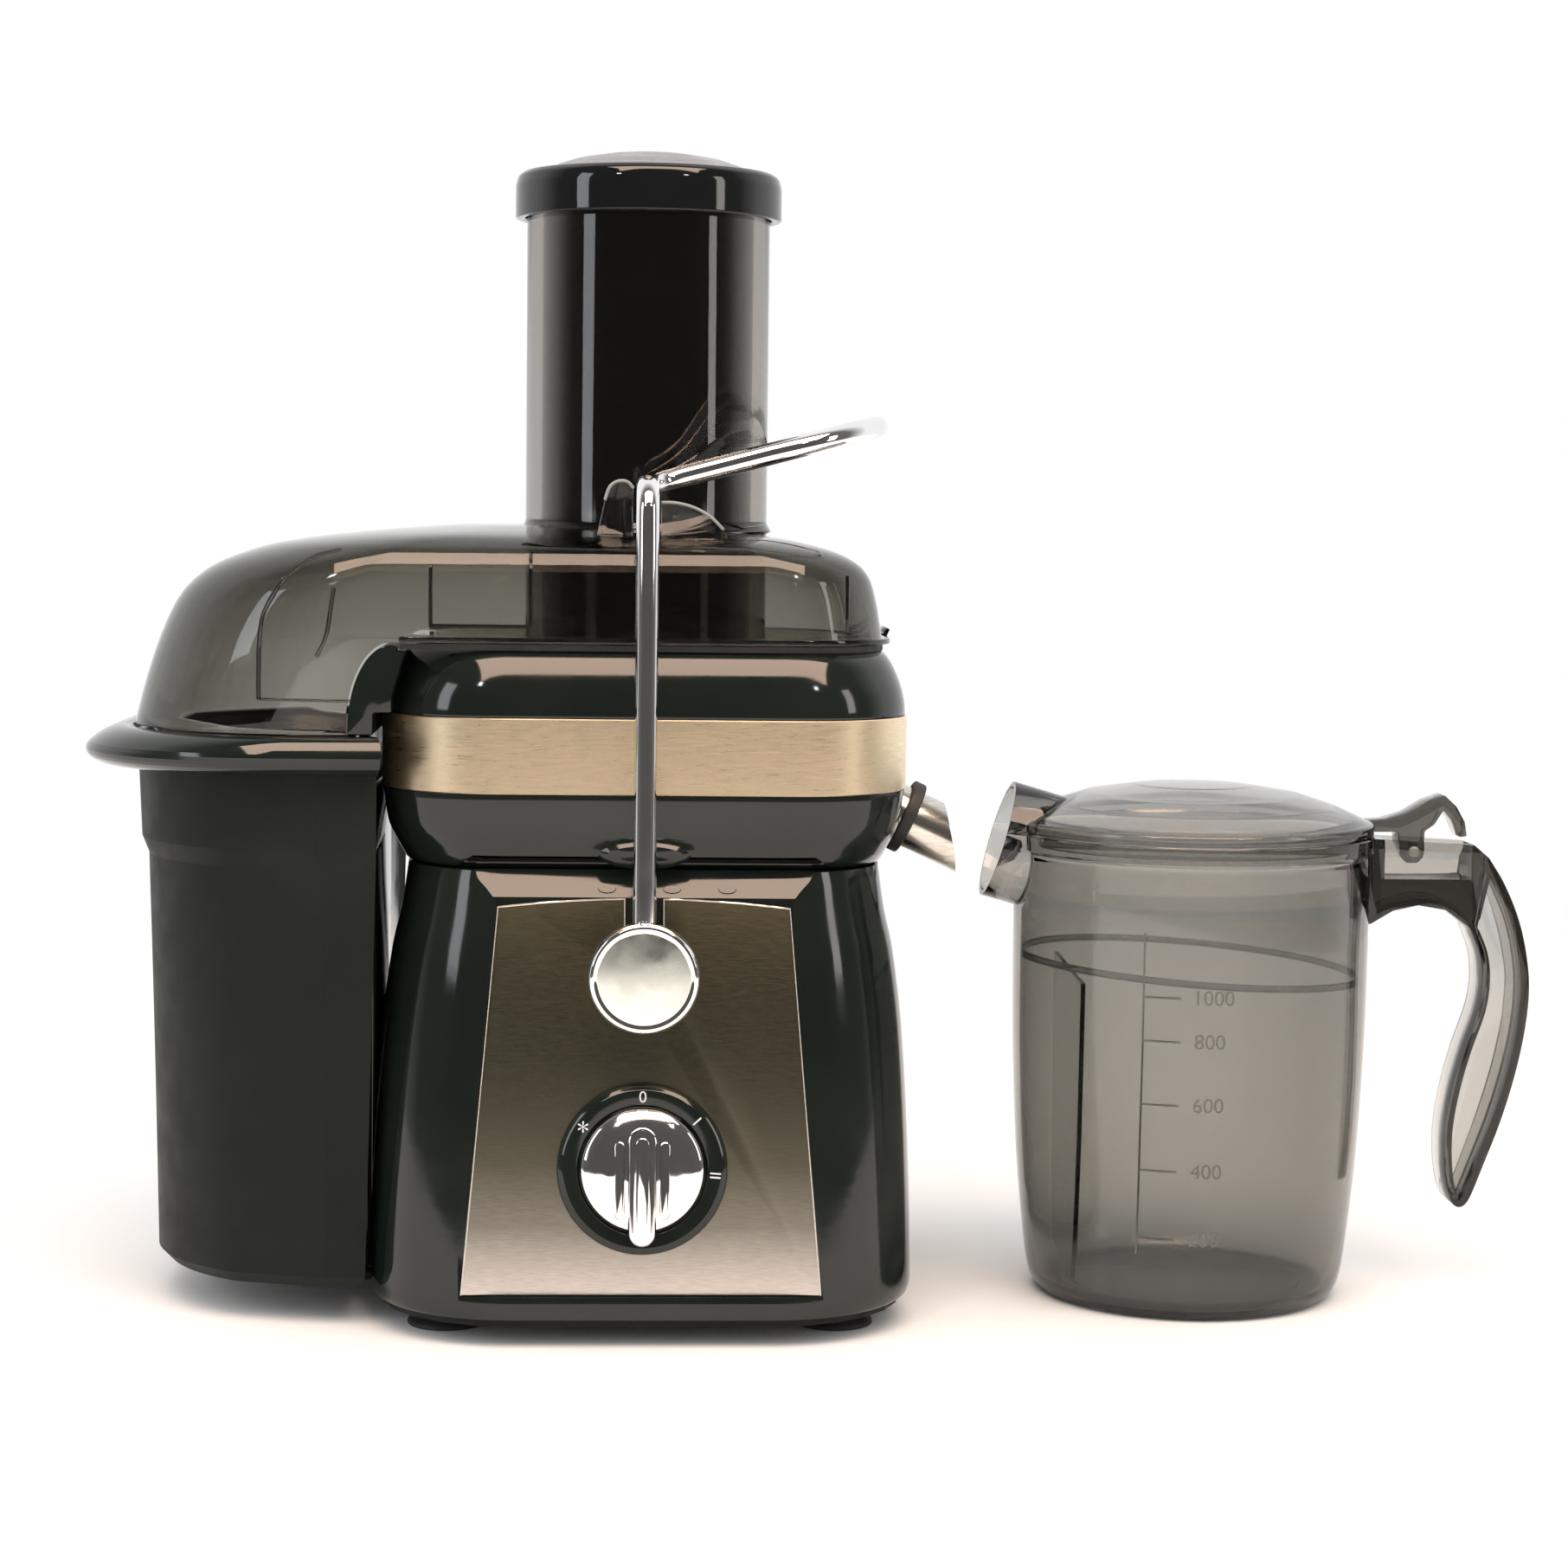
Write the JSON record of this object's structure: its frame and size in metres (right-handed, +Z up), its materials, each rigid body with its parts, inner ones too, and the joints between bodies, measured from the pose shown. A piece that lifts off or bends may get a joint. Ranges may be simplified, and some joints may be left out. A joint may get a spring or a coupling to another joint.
{
  "type": "centrifugal juicer",
  "caption": "Centrifugal juicer with a wide feed chute, pusher, locking arm and dial, its pulp bin on the left and a lidded juice jug on the right.",
  "frame": {"origin": "on the counter, under the middle of the whole set", "axes": "+Z up, -Y out of the dial's side, +X from the pulp bin to the jug"},
  "size_m": [0.5098, 0.2285, 0.4015],
  "materials": {
    "gloss_black": "gloss black plastic",
    "satin_black": "fine-textured black plastic",
    "smoked_clear": "smoked clear plastic",
    "brushed_steel": "brushed or plain steel",
    "chrome": "polished chrome",
    "rubber": "black rubber",
    "motor_core": "laminated core with its windings",
    "brass": "turned copper alloy",
    "board": "green circuit board"
  },
  "bodies": {
    "base": {"base_plate": "satin_black", "base_screw_1": "brushed_steel", "base_screw_2": "brushed_steel", "base_screw_3": "brushed_steel", "base_screw_4": "brushed_steel", "bearing_lower": "chrome", "bearing_upper": "chrome", "bowl_trim_band": "brushed_steel", "carbon_brush_left": "satin_black", "carbon_brush_right": "satin_black", "control_board": "board", "cord_gland": "rubber", "foot_front_left": "rubber", "foot_front_right": "rubber", "foot_rear_left": "rubber", "foot_rear_right": "rubber", "front_panel": "brushed_steel", "juice_bowl": "gloss_black", "juice_spout": "brushed_steel", "knob_bezel": "gloss_black", "lid": "smoked_clear", "lid_gasket": "rubber", "motor_bracket_lower": "brushed_steel", "motor_bracket_upper": "brushed_steel", "motor_housing": "gloss_black", "motor_post_1": "brushed_steel", "motor_post_2": "brushed_steel", "motor_post_3": "brushed_steel", "motor_post_4": "brushed_steel", "pivot_pin_front": "brushed_steel", "pivot_pin_rear": "brushed_steel", "rotary_switch": "satin_black", "safety_switch": "satin_black", "spout_seal": "rubber", "stator": "motor_core"},
    "arm": {"locking_arm": "chrome", "arm_cap_front": "chrome", "arm_cap_rear": "chrome"},
    "pusher": {"pusher_body": "gloss_black", "pusher_cap": "gloss_black", "pusher_dome": "smoked_clear"},
    "knob": {"speed_knob": "chrome", "knob_shaft": "brushed_steel"},
    "rotor": {"motor_shaft": "brushed_steel", "rotor_core": "motor_core", "commutator": "brass", "cooling_fan": "satin_black", "drive_coupling": "satin_black", "filter_basket": "brushed_steel", "grater_disc": "brushed_steel"},
    "bin": {"pulp_bin": "satin_black"},
    "jug": {"jug_body": "smoked_clear", "jug_hinge_pin": "brushed_steel", "froth_separator": "smoked_clear"},
    "jug_lid": {"jug_lid": "smoked_clear"}
  },
  "joints": [
    {"name": "arm_swing", "type": "hinge", "parent": "base", "child": "arm", "pos_m": [-0.0609, 0.00075, 0.125], "axis": [0, 1, 0], "range_deg": [0, 45]},
    {"name": "pusher_slide", "type": "slide", "parent": "base", "child": "pusher", "axis": [0, 0, 1], "range_m": [0, 0.16]},
    {"name": "knob_turn", "type": "hinge", "parent": "base", "child": "knob", "pos_m": [-0.0609, -0.09584, 0.0592], "axis": [0, 0.9945, -0.1047], "range_deg": [-55, 94]},
    {"name": "rotor_spin", "type": "hinge", "parent": "base", "child": "rotor", "pos_m": [-0.0609, 0.00075, 0.1], "axis": [0, 0, 1], "continuous": true},
    {"name": "bin_slide", "type": "slide", "parent": "base", "child": "bin", "axis": [-1, 0, 0], "range_m": [0, 0.15]},
    {"name": "jug_slide", "type": "slide", "parent": "base", "child": "jug", "axis": [1, 0, 0], "range_m": [-0.012, 0.12]},
    {"name": "jug_lid_hinge", "type": "hinge", "parent": "jug", "child": "jug_lid", "pos_m": [0.2121, -0.01425, 0.159], "axis": [0, 1, 0], "range_deg": [0, 20]}
  ]
}
